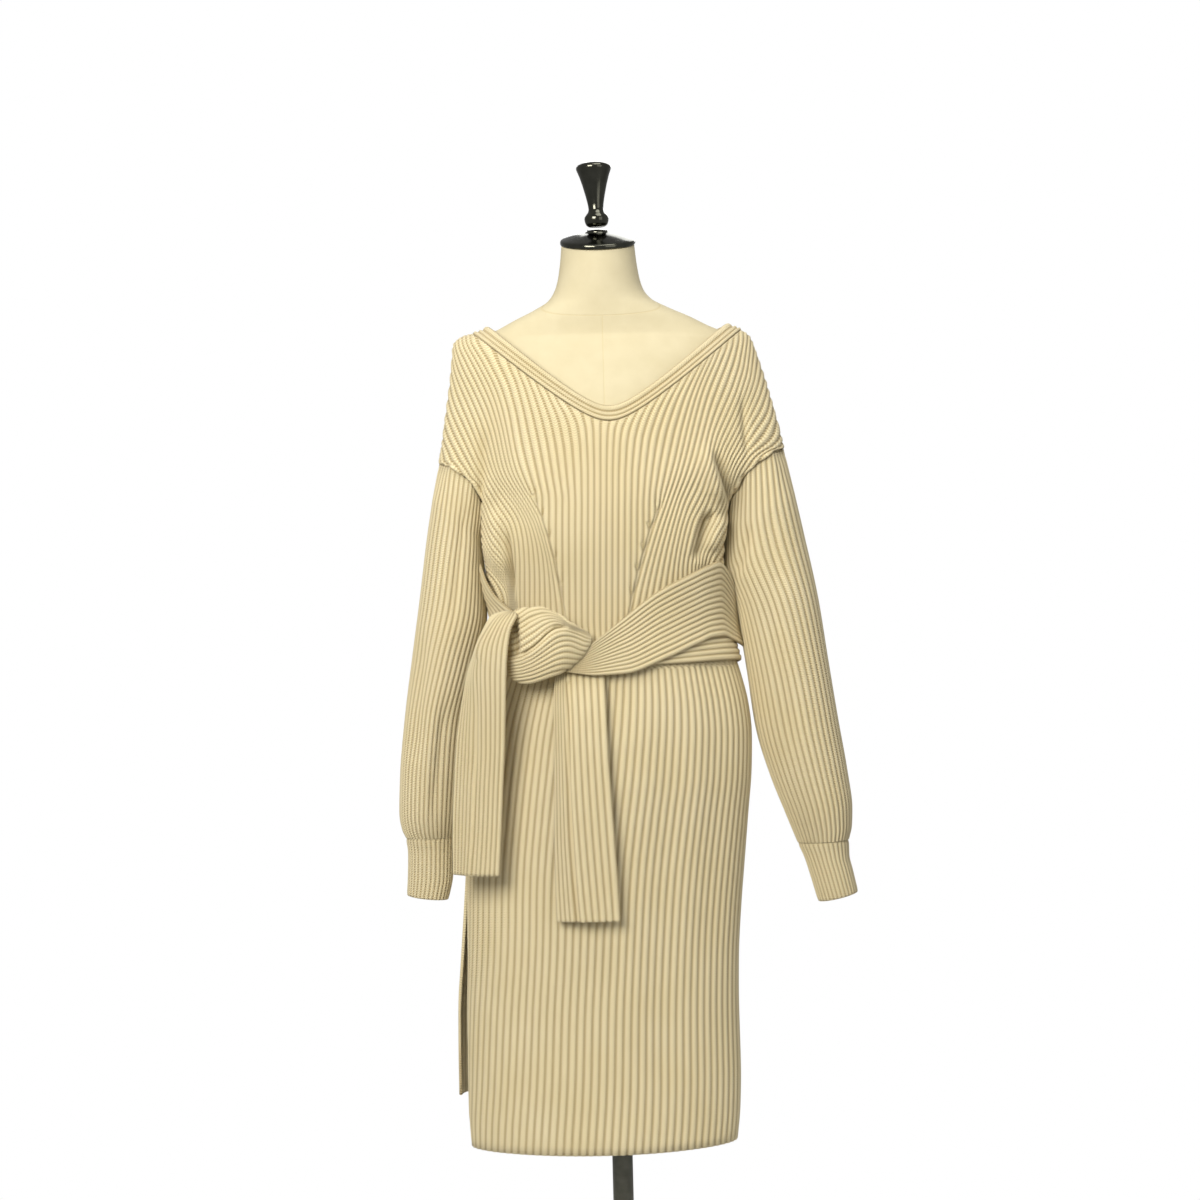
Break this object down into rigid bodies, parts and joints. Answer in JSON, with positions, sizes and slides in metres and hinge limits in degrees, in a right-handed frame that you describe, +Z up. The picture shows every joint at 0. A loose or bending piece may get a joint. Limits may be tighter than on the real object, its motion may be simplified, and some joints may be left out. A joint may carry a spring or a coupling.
{
  "type": "sweater dress on a dress form",
  "caption": "Rib-knit V-neck wool dress with dropped shoulders, full sleeves and a knotted waist tie, on a limbless dress form with a round-based pole stand",
  "frame": {"origin": "middle of the underside of the round base, on the floor below the pole", "axes": "+Z is up along the pole, -Y is the front of the dress, +X is the viewer's right when facing the front"},
  "size_m": [0.638, 0.36, 1.6025],
  "materials": {
    "wool_rib_knit": "soft fuzzy wool, ribbed",
    "form_cloth": "smooth pale cloth stretched over a rigid form",
    "dark_chrome": "dark polished plating",
    "stand_steel": "dark grey speckled metal"
  },
  "bodies": {
    "root": {"dress_front": "wool_rib_knit", "dress_back": "wool_rib_knit", "neckband": "wool_rib_knit", "sleeve_left": "wool_rib_knit", "sleeve_right": "wool_rib_knit", "cuff_left": "wool_rib_knit", "cuff_right": "wool_rib_knit", "sash_upper": "wool_rib_knit", "sash_back": "wool_rib_knit", "sash_left": "wool_rib_knit", "sash_lower": "wool_rib_knit", "sash_knot": "wool_rib_knit", "sash_tail_left": "wool_rib_knit", "sash_tail_centre": "wool_rib_knit", "form_torso": "form_cloth", "neck_cap": "dark_chrome", "finial": "dark_chrome", "pole": "stand_steel", "base": "stand_steel"}
  },
  "joints": []
}
